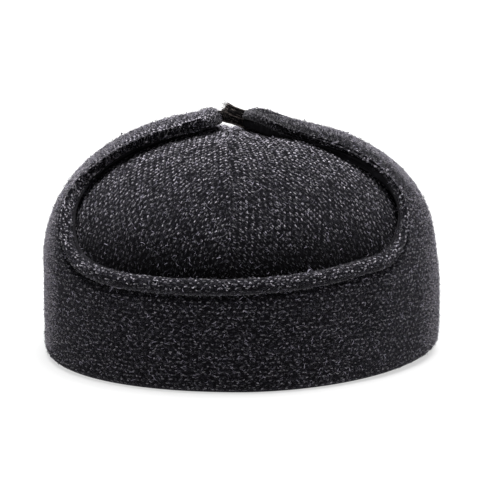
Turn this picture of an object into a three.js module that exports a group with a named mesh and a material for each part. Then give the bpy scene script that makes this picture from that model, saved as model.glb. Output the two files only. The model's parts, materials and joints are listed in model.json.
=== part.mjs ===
// An earflap flat cap in wool tweed, at rest with its ear flaps turned up and tied over the crown.
// Millimetres, +Z up, +Y towards the peak, +X to the right seen from behind.
// The origin lies under the middle of the whole cap, on the surface that it rests on.
import * as THREE from 'three';
import { mergeVertices } from 'three/addons/utils/BufferGeometryUtils.js';

// Driving dimensions. The outer size is taken over the turned-up flaps.
const halfWidth = 96;
const backReach = 91.5; // from the widest section to the back of the band
const frontReach = 130; // from the widest section to the front of the dome
const capHeight = 115.4; // to the top of the flaps
const shoulderHeight = 43.5; // the walls stand up to here, then turn into the dome
const domePower = 2.16; // 2 is an elliptical dome, more is fuller
const frontDrop = 0.55; // share of its height that the dome loses at the very front
// How square the outline is at each corner: 2 is an ellipse. The left rear corner is the fuller.
const planPower = { rearLeft: 2.16, rearRight: 1.76, front: 2.1 };
const wallTaper = 1; // the wall leans in by this much at the floor

const flapWall = 3; // tweed with its interlining
const rollProud = 0.9; // the rolled rim stands out this far
const rollWidth = 7.5; // from the rim to the stitched groove
const rollThickness = 4;
const grooveDepth = 0.7;
const liningWall = 2.4;
const liningShort = 1.2; // the lining stops this far short of the rim
const layerGap = 0.3; // clearance between pieces that touch

// Open space between the lining and the crown. A dark valley shows at the back.
const crownSpace = { side: 3.3, back: 4.3, top: 2.3 };
const crownWall = 2.5;
const seamGap = 0.3;
const seamDepth = 1; // the valley along the centre seam
const seamWidth = 5;

const footHeight = 9; // height of the fold that carries the crown
const footCurl = 4; // radius at which the fold turns under to its flat sole
const limbRound = 1.2; // the same at the sole's inner edge

const hemClearance = 1.2; // the crown's front hem stays this far off the floor

const peakGap = 0.55;
const peakReach = 44;
const peakCornerReach = 5;
const peakThickness = 4.4;
const peakSpan = 54; // degrees either side of the front
const peakRise = 17; // top of the peak's root above the floor, at the front
const peakCornerRise = 9.2; // the same at the two corners
const peakFall = 8.5; // from the root to the lip

const tipClearance = 0.5; // between a flap's tip and the tape or knot
const tieWidth = 6;
const tieThickness = 2;
const tieDrop = 2.8; // the tape's middle under the cap's height
const knotWidth = 6.2;
const knotDepth = 6;
const knotHeight = 6.6;
const knotRise = 1.3; // the knot's middle over the tape's
const tieEndLength = 9.5;
const tieEndWidth = 3.4;
const tieEndSlope = 19; // degrees that the free end climbs to the left

// The tape lifts both tips, and the right flap sags beside its own.
const tipLift = { left: 1.8, right: 2, reach: 9 };
const sagAt = 38; // right of the centre seam
const sagReach = 24;
const sagDepth = 1.5;

const flapFront = 122; // degrees from the back centre to a flap's front end

// The rim of the turned-up flaps, from the back centre over the tip to the front end.
// foot is the bearing, in degrees from the back centre, of the place on the fold under the row.
// across is a share of halfWidth, and up of capHeight. along is a share of backReach where it is
// negative, and of frontReach where it is positive.
const rimBack = { foot: 0, across: 0, along: -0.98, up: 0.457 };
const rearEdge = {
  left: [
    { foot: 24, across: 0.403, along: -0.9, up: 0.453 },
    { foot: 40, across: 0.648, along: -0.739, up: 0.464 },
    { foot: 50, across: 0.791, along: -0.567, up: 0.511 },
    { foot: 57, across: 0.831, along: -0.378, up: 0.619 },
    { foot: 62, across: 0.791, along: -0.21, up: 0.725 },
    { foot: 69, across: 0.637, along: -0.135, up: 0.845 },
    { foot: 76, across: 0.393, along: -0.115, up: 0.935 },
    { foot: 83, across: 0.159, along: -0.125, up: 0.975 },
    { foot: 89, across: 0.096, along: 0, up: 0.982 },
  ],
  right: [
    { foot: 24, across: 0.382, along: -0.894, up: 0.485 },
    { foot: 40, across: 0.605, along: -0.756, up: 0.515 },
    { foot: 50, across: 0.732, along: -0.611, up: 0.545 },
    { foot: 57, across: 0.782, along: -0.45, up: 0.628 },
    { foot: 62, across: 0.745, along: -0.32, up: 0.73 },
    { foot: 69, across: 0.615, along: -0.23, up: 0.84 },
    { foot: 76, across: 0.393, along: -0.19, up: 0.925 },
    { foot: 83, across: 0.117, along: -0.15, up: 0.975 },
    { foot: 89, across: 0.032, along: 0, up: 0.982 },
  ],
};
const frontEdge = [
  { foot: 95, across: 0.159, along: 0.17, up: 0.97 },
  { foot: 102, across: 0.425, along: 0.214, up: 0.918 },
  { foot: 109, across: 0.722, along: 0.304, up: 0.771 },
  { foot: 115, across: 0.855, along: 0.429, up: 0.537 },
  { foot: 119, across: 0.86, along: 0.518, up: 0.303 },
  { foot: flapFront, across: 0.817, along: 0.571, up: 0.12 },
];

// Depths of the layers below the rolled rim's face, from the outside in.
const wallInside = rollProud + flapWall;
const liningFace = Math.max(wallInside, rollThickness) + layerGap;
const crownInset = liningFace + liningWall + crownSpace.side;
const crownBackInset = liningFace + liningWall + crownSpace.back;
const crownTopInset = liningFace + liningWall + crownSpace.top;

// Mesh steps.
const rimSteps = 60;
const wallSteps = 7;
const crownLevels = 10;
const crownSkirtLevels = 2;
const peakSteps = 24;

// Where the two tips end, either side of the centre seam.
const tipLeft = rearEdge.left[rearEdge.left.length - 1].across * halfWidth;
const tipRight = rearEdge.right[rearEdge.right.length - 1].across * halfWidth;

const radians = (degrees) => (degrees * Math.PI) / 180;

// The outline at the floor and the dome over it, moved inwards by inset.
function layer(inset, { back = inset, top = inset } = {}) {
  return {
    a: halfWidth - inset,
    back: backReach - back,
    front: frontReach - inset,
    height: capHeight - top,
  };
}

// The crown's outer face, moved inwards by inset.
function crownLayer(inset) {
  return layer(crownInset + inset, { back: crownBackInset + inset, top: crownTopInset + inset });
}

function planNorm(x, y, form) {
  const rear = x < 0 ? planPower.rearLeft : planPower.rearRight;
  const power = y < 0 ? rear : planPower.front;
  const along = Math.abs(y) / (y < 0 ? form.back : form.front);
  return Math.pow(Math.pow(Math.abs(x) / form.a, power) + Math.pow(along, power), 1 / power);
}

// The front of the dome falls towards the peak. The fold at the foot stays where it is.
function drop(p) {
  const forward = Math.max(0, p.y) / frontReach;
  const above = Math.max(0, p.z - footHeight);
  return new THREE.Vector3(p.x, p.y, p.z - above * frontDrop * forward ** 3);
}

// Moves a point, given before the front drop, out from the dome's centre onto a layer.
function onto(p, form) {
  if (p.z < shoulderHeight) {
    const lean = 1 - (wallTaper / halfWidth) * (1 - p.z / shoulderHeight);
    const k = lean / planNorm(p.x, p.y, form);
    return new THREE.Vector3(p.x * k, p.y * k, p.z);
  }
  const up = (p.z - shoulderHeight) / (form.height - shoulderHeight);
  const k = Math.pow(planNorm(p.x, p.y, form) ** domePower + up ** domePower, -1 / domePower);
  return new THREE.Vector3(p.x * k, p.y * k, shoulderHeight + (p.z - shoulderHeight) * k);
}

// A point on the outline at a bearing counted from the back centre, at a height.
function outlinePoint(bearing, z, form) {
  const b = radians(bearing);
  const y = -Math.cos(b);
  return onto(new THREE.Vector3(form.a * Math.sin(b), y * (y < 0 ? form.back : form.front), z), form);
}

// Joins stations of paired outer and inner points into one closed solid.
// Every station has as many pairs, and the solid lies between them.
function wallSolid(stations) {
  const positions = [];
  const quad = (a, b, c, d) => {
    positions.push(a, b, c, a, c, d);
  };
  const n = stations[0].outer.length - 1;
  for (let s = 0; s < stations.length - 1; s++) {
    const p = stations[s];
    const q = stations[s + 1];
    for (let i = 0; i < n; i++) {
      quad(p.outer[i], q.outer[i], q.outer[i + 1], p.outer[i + 1]);
      quad(p.inner[i], p.inner[i + 1], q.inner[i + 1], q.inner[i]);
    }
    quad(p.inner[0], q.inner[0], q.outer[0], p.outer[0]);
    quad(p.outer[n], q.outer[n], q.inner[n], p.inner[n]);
  }
  const first = stations[0];
  const last = stations[stations.length - 1];
  for (let i = 0; i < n; i++) {
    quad(first.inner[i], first.outer[i], first.outer[i + 1], first.inner[i + 1]);
    quad(last.outer[i], last.inner[i], last.inner[i + 1], last.outer[i + 1]);
  }
  return closedGeometry(new THREE.BufferGeometry().setFromPoints(positions));
}

// Merges shared corners and leaves out triangles that a pole has shrunk to a line.
function closedGeometry(raw) {
  const merged = mergeVertices(raw, 1e-3);
  const index = merged.index.array;
  const kept = [];
  for (let i = 0; i < index.length; i += 3) {
    const [a, b, c] = index.slice(i, i + 3);
    if (a !== b && b !== c && c !== a) kept.push(a, b, c);
  }
  merged.setIndex(kept);
  merged.computeVertexNormals();
  return merged;
}

function material(name, color, roughness) {
  return new THREE.MeshStandardMaterial({ name, color, roughness, metalness: 0 });
}

const tweed = material('charcoal_tweed', 0x3a3a40, 0.95);
const black = material('black_lining', 0x101012, 0.9);
const tape = material('black_tape', 0x17130f, 0.7);

const cap = new THREE.Group();

function addPiece(name, geometry, finish) {
  const mesh = new THREE.Mesh(geometry, finish);
  mesh.name = name;
  cap.add(mesh);
}

// The rim as one smooth curve from the left front end to the right front end,
// with the foot bearing of each place kept beside it.
function rimStations() {
  const side = (rows, sign) => [...rows, ...frontEdge].map((r) => ({
    foot: sign * r.foot,
    point: new THREE.Vector3(
      sign * r.across * halfWidth,
      r.along * (r.along < 0 ? backReach : frontReach),
      r.up * capHeight,
    ),
  }));
  const rows = [
    ...side(rearEdge.left, -1).reverse(),
    { foot: 0, point: new THREE.Vector3(0, rimBack.along * backReach, rimBack.up * capHeight) },
    ...side(rearEdge.right, 1),
  ];
  const rim = new THREE.CatmullRomCurve3(rows.map((r) => r.point), false, 'centripetal');
  const bearings = rows.map((r) => new THREE.Vector3(r.foot, 0, 0));
  const feet = new THREE.CatmullRomCurve3(bearings, false, 'centripetal');
  return Array.from({ length: rimSteps + 1 }, (_, i) => {
    const t = i / rimSteps;
    return { foot: feet.getPoint(t).x, edge: rim.getPoint(t) };
  });
}

// A place on the flap at one station: share 0 is on the fold's wall, share 1 on the rim.
// Equal shares are about equal turns about the dome's centre, so the rows lie evenly over the flap.
function flapPoint(station, share, inset) {
  const form = layer(inset);
  const centre = new THREE.Vector3(0, 0, shoulderHeight);
  const start = outlinePoint(station.foot, footHeight, form);
  const half = start.clone().sub(centre).angleTo(station.edge.clone().sub(centre)) / 2;
  const along = 0.5 + Math.tan(half * (2 * share - 1)) / Math.tan(half) / 2;
  const p = onto(start.lerp(station.edge, along), form);
  return p.z < shoulderHeight ? p : onto(p, layer(inset - swell(p)));
}

// The right flap sags a little beside its tip, and both tips stand up where the tape pulls them.
function swell(p) {
  const bell = (from, reach) => Math.exp(-(((p.x - from) / reach) ** 2));
  const high = Math.min(1, (p.z - shoulderHeight) / (capHeight - shoulderHeight) / 0.8);
  const right = tipLift.right * bell(tipRight + tipLift.reach / 2, tipLift.reach);
  const left = tipLift.left * bell(-tipLeft - tipLift.reach / 3, tipLift.reach);
  return high * (right + left - sagDepth * bell(sagAt, sagReach));
}

// The share of the way up at which the rim is a given length away. Where the flap runs out at its
// front end, the lengths shrink with it.
function shareBeforeRim(station, length) {
  const whole = flapPoint(station, 0, 0).distanceTo(flapPoint(station, 0.5, 0))
    + flapPoint(station, 0.5, 0).distanceTo(flapPoint(station, 1, 0));
  return 1 - length / Math.max(whole, 2 * rollWidth);
}

// The foot is a fold: it comes down the outside, turns under to a flat sole, and stands up again
// inside, where the crown sits on it.
function foldSection(station) {
  const onFlap = (inset, z) => outlinePoint(station.foot, z, layer(inset));
  const onLimb = (inset, z) => outlinePoint(station.foot, z, crownLayer(inset));
  const top = footHeight - layerGap;
  return {
    outer: [
      onLimb(crownWall, top),
      onLimb(crownWall, 2 * limbRound),
      onLimb(crownWall - limbRound, limbRound * 0.8),
      onLimb(crownWall - 2 * limbRound, 0),
      onFlap(rollProud + footCurl * 0.7, 0),
      onFlap(rollProud + footCurl * 0.25, footCurl * 0.35),
      onFlap(rollProud + footCurl * 0.06, footCurl),
    ],
    inner: [
      onLimb(0, top),
      onLimb(0, flapWall + 1.6 * limbRound),
      onLimb(-0.3 * limbRound, flapWall + 0.4 * limbRound),
      onLimb(-0.8 * limbRound, flapWall),
      onFlap(wallInside + 0.8 * limbRound, flapWall),
      onFlap(wallInside + 0.3 * limbRound, flapWall + 0.4 * limbRound),
      onFlap(wallInside, flapWall + 1.6 * limbRound),
    ],
  };
}

// The places up the flap, from the fold to the rim, with how deep its two faces lie.
function flapRows(station) {
  const body = shareBeforeRim(station, rollWidth * 1.2);
  const wall = Array.from({ length: wallSteps + 1 }, (_, i) => (
    { share: (i / wallSteps) * body, face: rollProud, behind: wallInside }
  ));
  return [
    ...wall,
    { share: shareBeforeRim(station, rollWidth), face: rollProud + grooveDepth, behind: wallInside },
    { share: shareBeforeRim(station, rollWidth * 0.75), face: rollProud * 0.2, behind: rollThickness },
    { share: shareBeforeRim(station, rollWidth * 0.42), face: 0, behind: rollThickness },
    { share: shareBeforeRim(station, liningShort), face: rollThickness * 0.15, behind: rollThickness * 0.95 },
    { share: 1, face: rollThickness * 0.42, behind: rollThickness * 0.68 },
  ];
}

function flapBand() {
  return wallSolid(rimStations().map((station) => {
    const { outer, inner } = foldSection(station);
    flapRows(station).forEach((row) => {
      outer.push(drop(flapPoint(station, row.share, row.face)));
      inner.push(drop(flapPoint(station, row.share, row.behind)));
    });
    return { outer, inner };
  }));
}

// The lining follows the same rows, so its faces run parallel to the band's.
function flapLining() {
  return wallSolid(rimStations().map((station) => {
    const rows = flapRows(station).slice(0, -1);
    const place = (inset) => rows.map((row) => drop(flapPoint(station, row.share, inset)));
    return { outer: place(liningFace), inner: place(liningFace + liningWall) };
  }));
}

// Bearings of the crown's columns, close together beside the centre seam and where the hem steps
// down in front of the fold.
function crownBearings() {
  const even = Array.from({ length: 12 }, (_, i) => 9 + i * 9);
  const front = Array.from({ length: 5 }, (_, i) => 134 + i * 9);
  const step = flapFront + 0.5;
  return [0, 2, 4.5, ...even, step, step + 2, ...front, 175.5, 178, 180];
}

// One crown panel. The hem stands on the fold, and in front of it reaches almost to the floor.
function crownPanel(sign) {
  const shell = (bearing, hem, inset) => {
    const form = crownLayer(inset);
    const place = (p) => {
      const aside = Math.abs(p.x) * (1 - seamGap / 2 / form.a);
      const near = Math.max(0, 1 - aside / seamWidth);
      const valley = inset > 0 ? 0 : seamDepth * near * near;
      const sunk = valley > 0 ? onto(p.clone(), crownLayer(valley)) : p;
      return drop(sunk).setX(sign * (aside + seamGap / 2));
    };
    const points = [];
    for (let i = 0; i < crownSkirtLevels; i++) {
      const z = hem + (i / crownSkirtLevels) * (shoulderHeight - hem);
      points.push(place(outlinePoint(sign * bearing, z, form)));
    }
    const shoulder = outlinePoint(sign * bearing, shoulderHeight, form);
    for (let i = 0; i <= crownLevels; i++) {
      const turn = radians((i / crownLevels) * 90);
      const rise = (form.height - shoulderHeight) * Math.sin(turn);
      const aside = i === crownLevels ? 0 : Math.cos(turn);
      const raw = new THREE.Vector3(shoulder.x * aside, shoulder.y * aside, shoulderHeight + rise);
      points.push(place(onto(raw, form)));
    }
    return points;
  };
  const stations = crownBearings().map((bearing) => {
    const hem = bearing > flapFront + 1 ? hemClearance : footHeight;
    return { outer: shell(bearing, hem, 0), inner: shell(bearing, hem, crownWall) };
  });
  return wallSolid(sign > 0 ? stations : stations.reverse());
}

// The peak: a cloth-covered crescent that springs from the crown's front and falls to its lip.
function peak() {
  const root = crownLayer(-peakGap);
  // out is a share of the reach, and thin the share of the thickness that each face gives up there.
  const section = [
    { out: 0, thin: 0 },
    { out: 0.35, thin: 0 },
    { out: 0.7, thin: 0 },
    { out: 0.94, thin: 0 },
    { out: 1, thin: 0.32 },
  ];
  const stations = Array.from({ length: peakSteps + 1 }, (_, i) => {
    const turn = -peakSpan + (i / peakSteps) * 2 * peakSpan;
    const share = Math.cos(radians((turn / peakSpan) * 90));
    const reach = peakCornerReach + (peakReach - peakCornerReach) * Math.pow(share, 0.6);
    const rise = peakCornerRise + (peakRise - peakCornerRise) * share;
    const face = (row, side) => {
      const start = outlinePoint(180 - turn, rise, root);
      const forward = new THREE.Vector3(start.x * 0.7, start.y, 0).normalize();
      const fall = peakFall * share * Math.pow(row.out, 1.3);
      const p = start.clone().addScaledVector(forward, reach * row.out);
      const edge = row.thin * peakThickness;
      return p.setZ(side > 0 ? rise - fall - edge : rise - fall - peakThickness + edge);
    };
    return { outer: section.map((row) => face(row, 1)), inner: section.map((row) => face(row, -1)) };
  });
  return wallSolid(stations);
}

// A flat tape with rounded edges, standing on edge, from its start along +X.
function tapeStrip(length, width, thickness) {
  const shape = new THREE.Shape();
  const r = thickness / 2;
  const h = width / 2 - r;
  shape.absarc(0, h, r, 0, Math.PI, false);
  shape.absarc(0, -h, r, Math.PI, 2 * Math.PI, false);
  shape.closePath();
  const options = { depth: length, bevelEnabled: false, curveSegments: 6, steps: 1 };
  const strip = new THREE.ExtrudeGeometry(shape, options);
  // The section's width turns to Z, its thickness to Y, and the extrusion to X.
  strip.applyMatrix4(new THREE.Matrix4().makeBasis(
    new THREE.Vector3(0, 1, 0),
    new THREE.Vector3(0, 0, 1),
    new THREE.Vector3(1, 0, 0),
  ));
  strip.deleteAttribute('uv');
  strip.deleteAttribute('normal');
  return closedGeometry(strip);
}

// The knot lies against the left tip, the tape spans from it to the right tip, and the free end
// leaves over both.
function addTie() {
  const tieRise = capHeight - tieDrop;
  const knotMiddle = -tipLeft + tipClearance + knotWidth / 2;
  const knot = new THREE.IcosahedronGeometry(1, 3);
  knot.deleteAttribute('uv');
  knot.deleteAttribute('normal');
  knot.scale(knotWidth / 2, knotDepth / 2, knotHeight / 2);
  knot.translate(knotMiddle, 0, tieRise + knotRise);
  addPiece('tie_knot', closedGeometry(knot), tape);

  const start = knotMiddle + knotWidth / 2 + layerGap;
  const cord = tapeStrip(tipRight - tipClearance - start, tieWidth, tieThickness);
  cord.translate(start, 0, tieRise);
  addPiece('tie_cord', cord, tape);

  const end = tapeStrip(tieEndLength, tieEndWidth, tieThickness);
  end.translate(-tieEndLength, 0, 0);
  end.rotateY(radians(tieEndSlope));
  end.translate(tipRight - tipClearance, 0, tieRise + (tieWidth + tieEndWidth) / 2 + layerGap);
  addPiece('tie_end', end, tape);
}

addPiece('ear_flap_band', flapBand(), tweed);
addPiece('flap_lining', flapLining(), black);
addPiece('crown_left', crownPanel(-1), tweed);
addPiece('crown_right', crownPanel(1), tweed);
addPiece('peak', peak(), tweed);
addTie();

// The frame's origin moves under the middle of the cap's length.
const box = new THREE.Box3().setFromObject(cap);
cap.children.forEach((mesh) => mesh.geometry.translate(0, -(box.min.y + box.max.y) / 2, 0));

export default cap;
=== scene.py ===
# Earflap flat cap in charcoal tweed, seen from behind with its flaps turned up and tied
import json
import math
import bpy
import bmesh
import numpy as np
from mathutils import Euler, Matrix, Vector, noise

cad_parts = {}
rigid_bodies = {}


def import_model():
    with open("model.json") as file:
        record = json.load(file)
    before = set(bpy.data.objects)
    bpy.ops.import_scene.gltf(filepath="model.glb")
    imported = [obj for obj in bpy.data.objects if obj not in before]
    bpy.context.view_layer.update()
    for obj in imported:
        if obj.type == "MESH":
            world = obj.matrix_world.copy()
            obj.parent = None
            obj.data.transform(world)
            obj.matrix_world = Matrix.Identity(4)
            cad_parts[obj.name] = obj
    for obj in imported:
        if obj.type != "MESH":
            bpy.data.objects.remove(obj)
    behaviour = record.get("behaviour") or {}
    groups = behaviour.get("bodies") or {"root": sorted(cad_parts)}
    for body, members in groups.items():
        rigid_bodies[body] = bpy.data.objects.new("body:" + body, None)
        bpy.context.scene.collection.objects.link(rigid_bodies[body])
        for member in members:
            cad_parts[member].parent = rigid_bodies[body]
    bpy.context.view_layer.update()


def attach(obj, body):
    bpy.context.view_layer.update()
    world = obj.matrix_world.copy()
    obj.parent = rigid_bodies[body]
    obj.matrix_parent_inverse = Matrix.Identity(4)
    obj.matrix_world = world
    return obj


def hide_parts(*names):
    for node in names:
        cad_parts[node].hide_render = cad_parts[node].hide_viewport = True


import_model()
scene = bpy.context.scene
print("stage: frame loaded")

# Camera
shot = {
    "distance": 1.2,  # metres
    "elevation": 11.0,
    "lens": 187.2,
    "sensor": 36.0,
    "aim": (-0.0005, -0.0367, 0.0533),
}


def lookWay(s):
    turn = math.radians(s["elevation"])
    return Vector((0, math.cos(turn), -math.sin(turn)))


def addCamera(s):
    data = bpy.data.cameras.new("viewCamera")
    data.lens = s["lens"]
    data.sensor_width = s["sensor"]
    data.clip_start = 0.05
    data.clip_end = 100
    camera = bpy.data.objects.new("viewCamera", data)
    camera.location = Vector(s["aim"]) - lookWay(s) * s["distance"]
    camera.rotation_euler = lookWay(s).to_track_quat("-Z", "Y").to_euler()
    scene.collection.objects.link(camera)
    scene.camera = camera


addCamera(shot)
scene.view_settings.view_transform = "Standard"
scene.view_settings.look = "None"


# Node maths: a wrapped socket that adds Math nodes when it is used in an expression
class Val:
    def __init__(self, graph, socket):
        self.graph = graph
        self.socket = socket

    def op(self, kind, *others):
        return self.graph.val(self.graph.node("ShaderNodeMath", {"operation": kind}, [self, *others]))

    def flipped(self, kind, other):
        return self.graph.val(self.graph.node("ShaderNodeMath", {"operation": kind}, [other, self]))

    def within(self, low, high):
        settings = {"interpolation_type": "SMOOTHSTEP", "clamp": True}
        sockets = {0: self, 1: low, 2: high, 3: 0.0, 4: 1.0}
        return self.graph.val(self.graph.node("ShaderNodeMapRange", settings, sockets))

    def __add__(self, other):
        return self.op("ADD", other)

    def __radd__(self, other):
        return self.op("ADD", other)

    def __sub__(self, other):
        return self.op("SUBTRACT", other)

    def __rsub__(self, other):
        return self.flipped("SUBTRACT", other)

    def __mul__(self, other):
        return self.op("MULTIPLY", other)

    def __rmul__(self, other):
        return self.op("MULTIPLY", other)

    def __truediv__(self, other):
        return self.op("DIVIDE", other)

    def __rtruediv__(self, other):
        return self.flipped("DIVIDE", other)


class Graph:
    def __init__(self, tree):
        self.tree = tree

    # Any node: its type, its settings, and the values or links of its sockets by name or number
    def node(self, kind, settings=None, sockets=None):
        made = self.tree.nodes.new(kind)
        for key, value in (settings or {}).items():
            setattr(made, key, value)
        pairs = enumerate(sockets) if isinstance(sockets, list) else (sockets or {}).items()
        for key, value in pairs:
            self.feed(made.inputs[key], value)
        return made

    # A node stands for its first output, and a colour may leave out its alpha
    def feed(self, socket, value):
        if isinstance(value, bpy.types.Node):
            value = value.outputs[0]
        if isinstance(value, Val):
            value = value.socket
        if isinstance(value, bpy.types.NodeSocket):
            self.tree.links.new(value, socket)
        else:
            socket.default_value = (*value, 1.0) if socket.type == "RGBA" else value

    def val(self, node, output=0):
        return Val(self, node.outputs[output])


class Mat(Graph):
    def __init__(self, name):
        self.material = bpy.data.materials.new(name)
        self.material.use_nodes = True
        super().__init__(self.material.node_tree)
        self.shader = self.tree.nodes["Principled BSDF"]

    def attribute(self, name):
        return self.val(self.node("ShaderNodeAttribute", {"attribute_name": name}), 2)

    def weave(self):
        return self.node("ShaderNodeUVMap", {"uv_map": "weave"})

    def parts(self, vector):
        split = self.node("ShaderNodeSeparateXYZ", None, [vector])
        return self.val(split, 0), self.val(split, 1)

    def cloud(self, vector, scale, detail=2.0, rough=0.5, warp=0.0, output=0):
        sockets = {"Vector": vector, "Scale": scale, "Detail": detail, "Roughness": rough,
                   "Distortion": warp}
        return self.val(self.node("ShaderNodeTexNoise", {"noise_dimensions": "2D"}, sockets), output)

    def mix(self, factor, a, b, blend="MIX"):
        settings = {"data_type": "RGBA", "blend_type": blend, "clamp_result": False}
        return self.node("ShaderNodeMix", settings, {"Factor": factor, 6: a, 7: b}).outputs[2]

    def bump(self, strength, distance, height):
        return self.node("ShaderNodeBump", None,
                         {"Strength": strength, "Distance": distance, "Height": height})

    def set(self, **sockets):
        for key, value in sockets.items():
            self.feed(self.shader.inputs[key.replace("_", " ")], value)


# Tweed: rows of short yarn floats laid like bricks, light ones in every fourth row, under loose fibres
tweed = {
    "floatLong": 1.95,  # millimetres
    "rowPitch": 0.53,
    "wander": 0.6,  # how far the rows stray from their lines
    "dark": (0.0016, 0.0015, 0.0026),
    "dim": (0.026, 0.0245, 0.033),
    "light": (0.92, 0.91, 0.96),
    "hair": (0.42, 0.40, 0.47),
    "relief": 0.00045,
}


def tweedMaterial(name, angle, t, gain=1.0, contrast=1.0, haze=0.05):
    m = Mat(name)
    turned = m.node("ShaderNodeMapping", {"vector_type": "POINT"},
                    {"Vector": m.weave(), "Rotation": (0, 0, math.radians(angle))})
    shifted = m.node("ShaderNodeVectorMath", {"operation": "MULTIPLY_ADD"},
                     {0: m.cloud(turned, 0.35, output=1), 1: (2 * t["wander"], 2 * t["wander"], 0),
                      2: turned})
    x, y = m.parts(shifted)
    v = y / t["rowPitch"]
    row = v.op("FLOOR")
    u = x / t["floatLong"] + (row * 0.5).op("FRACT")
    column = u.op("FLOOR")
    cell = m.node("ShaderNodeCombineXYZ", None, [column, row, 0.0])
    dice = m.node("ShaderNodeTexWhiteNoise", {"noise_dimensions": "2D"}, {"Vector": cell})
    rolls = m.node("ShaderNodeSeparateColor", None, [dice.outputs["Color"]])
    tone, slide, size = (m.val(rolls, i) for i in range(3))
    # Every second float of every fourth row is light
    lightRow = 1 - (row * 0.25).op("FRACT").within(0.05, 0.2)
    lightTurn = 1 - ((column + row * 0.25) * 0.5).op("FRACT").within(0.1, 0.4)
    isLight = lightRow * lightTurn
    along = (u - column - 0.5 + (slide - 0.5) * 0.3) * t["floatLong"]
    across = (v - row - 0.5 + (size - 0.5) * 0.2) * t["rowPitch"]
    past = (along.op("ABSOLUTE") - 0.42).op("MAXIMUM", 0.0)
    reach = (past * past + across * across).op("SQRT")
    dash = 1 - reach.within(0.1 + size * 0.08, 0.36)
    strand = m.node("ShaderNodeCombineXYZ", None, [along * 1.1 + tone * 40, across * 5 + along * 1.6, 0.0])
    fibre = m.cloud(strand, 1.0, 3.0, 0.65).within(0.3, 0.7)
    fuzz = m.cloud(turned, 2.6, 3.0, 0.7, 0.6).within(0.35, 0.75)
    # Stray hairs lie where one noise crosses its middle value
    curl = (m.cloud(turned, 0.75, 2.0, 0.6, 1.6) - 0.5).op("ABSOLUTE")
    hair = (1 - curl.within(0.006, 0.022)) * m.cloud(turned, 0.55, 1.0).within(0.52, 0.62)
    broad = m.cloud(turned, 0.05, 3.0) * 0.8 + 0.6
    # The bead's flecks are painted lighter, partly as a painted highlight
    edge = m.attribute("bead")
    lit = isLight * (tone * tone * 0.5 + 0.05) * contrast * (edge * 0.6 + 1)
    dull = (1 - isLight) * (tone * tone * tone * 1.2 + 0.06) * (edge * 0.5 + 1)
    ground = m.mix(dash * dull * (fibre * 0.7 + 0.3) + fuzz * 0.12, t["dark"], t["dim"])
    flecked = m.mix(dash * lit * (fibre * 0.7 + 0.3) * broad, ground, t["light"])
    haired = m.mix(hair * 0.4, flecked, t["hair"])
    # Painted shade: the colour darkens where the attribute of painted shade is high, behind the rim and in
    # the flaps' shades
    deep = m.mix(m.attribute("valley"), (gain, gain, gain), (gain * 0.22, gain * 0.22, gain * 0.24))
    height = dash * (isLight * 0.35 + 0.45) + fibre * 0.2 + hair * 0.3 + fuzz * 0.15
    m.set(Base_Color=m.mix(1.0, haired, deep, "MULTIPLY"), Roughness=0.95,
          Normal=m.bump(1.0, t["relief"], height), Specular_IOR_Level=0.08,
          Sheen_Weight=haze, Sheen_Roughness=0.2, Sheen_Tint=(0.88, 0.84, 1))
    return m.material


lining = {"colour": (0.0088, 0.0085, 0.0098), "pitch": 0.5}


def liningMaterial(name, t):
    m = Mat(name)
    place = m.weave()
    x, y = m.parts(place)
    ribs = (x * (math.tau / t["pitch"])).op("SINE") * (y * (math.tau / t["pitch"])).op("SINE")
    worn = m.cloud(place, 0.15, 4.0).within(0.4, 0.75)
    base = m.mix(worn * 0.6, t["colour"], tuple(2.4 * c for c in t["colour"]))
    m.set(Base_Color=base, Roughness=0.85, Normal=m.bump(0.35, 0.0001, ribs + worn), Specular_IOR_Level=0.03)
    return m.material


tapeCloth = {"colour": (0.0055, 0.0045, 0.0048), "worn": (0.66, 0.56, 0.52), "pitch": 0.7}


def tapeMaterial(name, t):
    m = Mat(name)
    place = m.weave()
    x, y = m.parts(place)
    weft = ((x + y) * (math.tau / t["pitch"])).op("SINE") * 0.5 + 0.5
    warp = ((y - x * 0.4) * (math.tau / t["pitch"] * 0.8)).op("SINE") * 0.5 + 0.5
    streaks = m.node("ShaderNodeVectorMath", {"operation": "MULTIPLY"}, {0: place, 1: (0.45, 1.5, 1)})
    cloud = m.cloud(streaks, 0.8, 5.0, 0.75)
    patches = cloud.within(0.54, 0.64) * (weft * warp * 0.8 + 0.2)
    # The selvages are worn too; the far side of the tape lies 8 mm on in the weave
    fromMiddle = y.op("ABSOLUTE").op("MINIMUM", (y - 8.0).op("ABSOLUTE"))
    worn = patches + fromMiddle.within(1.6, 2.2) * (cloud.within(0.4, 0.6) * 0.5 + 0.12)
    m.set(Base_Color=m.mix(worn, t["colour"], t["worn"]), Roughness=0.7,
          Normal=m.bump(0.9, 0.0004, weft * warp + worn), Specular_IOR_Level=0.12,
          Sheen_Weight=0.05, Sheen_Roughness=0.4)
    return m.material


# Cap's shape in millimetres, from the middle of its widest section on the floor
cap = {
    "halfWidth": 96.0, "backReach": 91.5, "frontReach": 130.0, "height": 115.4,
    "shoulder": 43.5, "domePower": 2.16, "frontDrop": 0.55, "taper": 1.0,
    "rearLeft": 2.16, "rearRight": 1.76, "front": 2.1,
    "footHeight": 9.0, "middle": -36.4,  # where the widest section lies along the frame's Y
}


def layer(inset, back=None, top=None):
    inset = np.asarray(inset, float)
    back = inset if back is None else back
    top = inset if top is None else top
    return (cap["halfWidth"] - inset, cap["backReach"] - back, cap["frontReach"] - inset,
            cap["height"] - top)


def planNorm(x, y, form):
    rear = np.where(x < 0, cap["rearLeft"], cap["rearRight"])
    power = np.where(y < 0, rear, cap["front"])
    along = np.abs(y) / np.where(y < 0, form[1], form[2])
    return ((np.abs(x) / form[0]) ** power + along ** power) ** (1 / power)


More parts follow.
